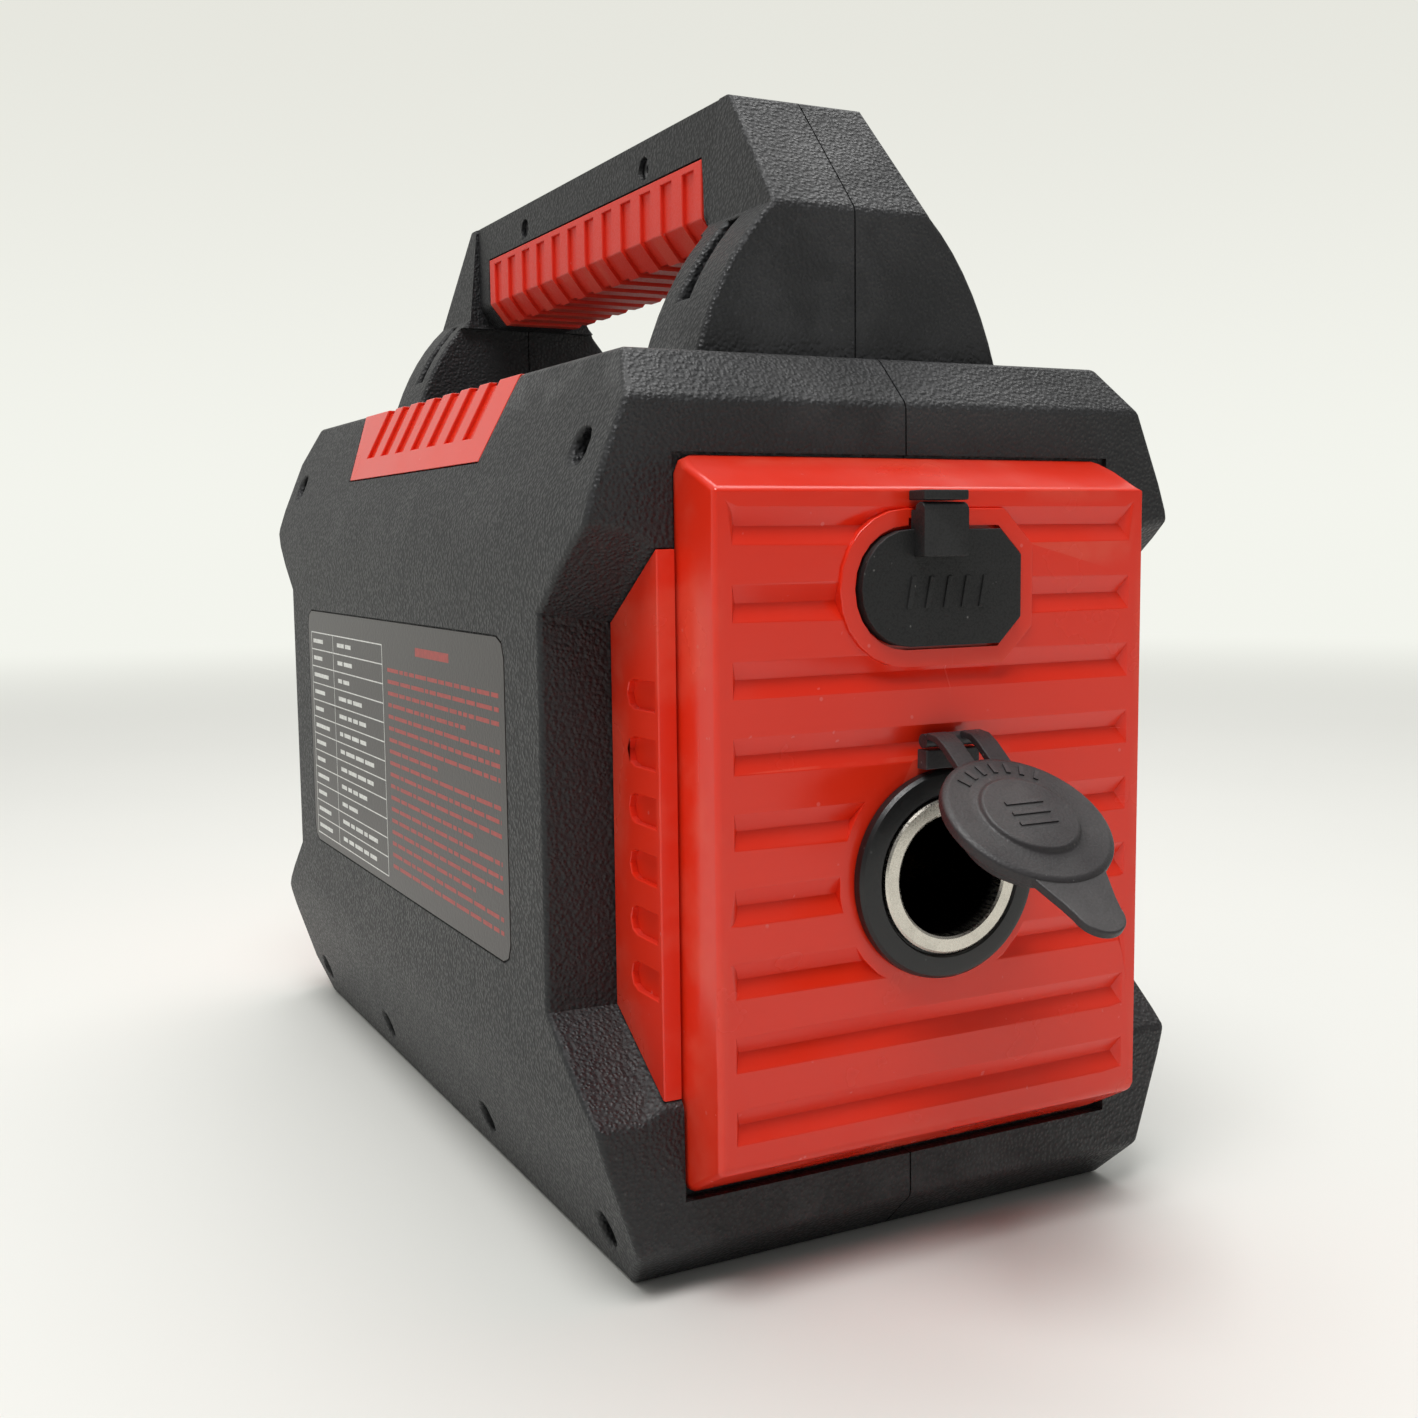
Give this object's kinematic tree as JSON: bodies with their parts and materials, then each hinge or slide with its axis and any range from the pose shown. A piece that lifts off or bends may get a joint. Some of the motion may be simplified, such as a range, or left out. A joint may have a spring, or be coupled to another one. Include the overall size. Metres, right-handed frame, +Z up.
{
  "type": "jump starter pack",
  "caption": "Boxy portable jump starter with a top carrying handle, red ribbed end panels, a covered starting port and a capped round accessory socket.",
  "frame": {"origin": "middle of the flat base of the case", "axes": "+X across the case to its plain side, +Y along the handle to the control end, +Z up through the handle; the outlet end faces -Y"},
  "size_m": [0.1214, 0.2856, 0.207],
  "materials": {
    "shell_plastic": "textured black moulding",
    "red_plastic": "gloss red moulding",
    "grip_red": "satin red moulding",
    "soft_rubber": "matt black rubber",
    "cap_rubber": "matt charcoal rubber",
    "dark_plastic": "satin black moulding",
    "label_film": "matt printed film",
    "nickel_plate": "nickel plate",
    "brass": "turned brass",
    "copper": "copper strip",
    "screw_steel": "zinc plated steel",
    "cell_wrap": "wrapped aluminium can",
    "circuit_board": "green solder mask",
    "display_glass": "smoked window",
    "lens_clear": "clear lens",
    "lead_cover": "insulation",
    "lead_cover_red": "insulation"
  },
  "bodies": {
    "case": {"left_shell": "shell_plastic", "right_shell": "shell_plastic", "handle_left": "shell_plastic", "handle_right": "shell_plastic", "grip_pad": "grip_red", "left_accent": "red_plastic", "right_accent": "red_plastic", "rating_label": "label_film", "front_panel": "red_plastic", "front_end_frame": "red_plastic", "back_panel": "red_plastic", "back_end_frame": "red_plastic", "start_cover_strap": "soft_rubber", "start_socket_housing": "dark_plastic", "start_contact_negative": "brass", "start_contact_positive": "brass", "lighter_barrel": "nickel_plate", "lighter_flange": "dark_plastic", "lighter_nut": "dark_plastic", "lighter_insulator": "dark_plastic", "lighter_centre_contact": "brass", "socket_cap_strap": "cap_rubber", "display_window": "display_glass", "display_module": "circuit_board", "usb_port_1": "nickel_plate", "usb_port_2": "nickel_plate", "dc_jack": "dark_plastic", "dc_cover_strap": "soft_rubber", "lamp_lens": "lens_clear", "lamp_reflector": "nickel_plate", "battery_tray": "dark_plastic", "battery_cell_1": "cell_wrap", "battery_cell_2": "cell_wrap", "battery_cell_3": "cell_wrap", "battery_cell_4": "cell_wrap", "busbar_1": "copper", "busbar_2": "copper", "busbar_3": "copper", "negative_lead": "lead_cover", "positive_lead": "lead_cover_red", "power_board": "circuit_board", "control_board": "circuit_board", "case_screw_1": "screw_steel", "case_screw_2": "screw_steel", "case_screw_3": "screw_steel", "case_screw_4": "screw_steel", "case_screw_5": "screw_steel", "case_screw_6": "screw_steel", "grip_screw_1": "screw_steel", "grip_screw_2": "screw_steel"},
    "start_cover": {"start_cover": "soft_rubber"},
    "socket_cap": {"socket_cap": "cap_rubber"},
    "power_button": {"power_button": "soft_rubber"},
    "light_button": {"light_button": "soft_rubber"},
    "dc_cover": {"dc_cover": "soft_rubber"}
  },
  "joints": [
    {"name": "start_cover_hinge", "type": "hinge", "parent": "case", "child": "start_cover", "pos_m": [-0.0028, -0.1234, 0.1302], "axis": [-1, 0, 0], "range_deg": [0, 100]},
    {"name": "socket_cap_hinge", "type": "hinge", "parent": "case", "child": "socket_cap", "pos_m": [0, -0.1218, 0.0922], "axis": [-1, 0, 0], "range_deg": [-56, 45], "stiffness_Nm_per_rad": 0.03},
    {"name": "power_button_press", "type": "slide", "parent": "case", "child": "power_button", "axis": [0, -1, 0], "range_m": [0, 0.001], "stiffness_N_per_m": 400},
    {"name": "light_button_press", "type": "slide", "parent": "case", "child": "light_button", "axis": [0, -1, 0], "range_m": [0, 0.001], "stiffness_N_per_m": 400},
    {"name": "dc_cover_hinge", "type": "hinge", "parent": "case", "child": "dc_cover", "pos_m": [0.02, 0.1216, 0.0796], "axis": [1, 0, 0], "range_deg": [0, 110]}
  ]
}
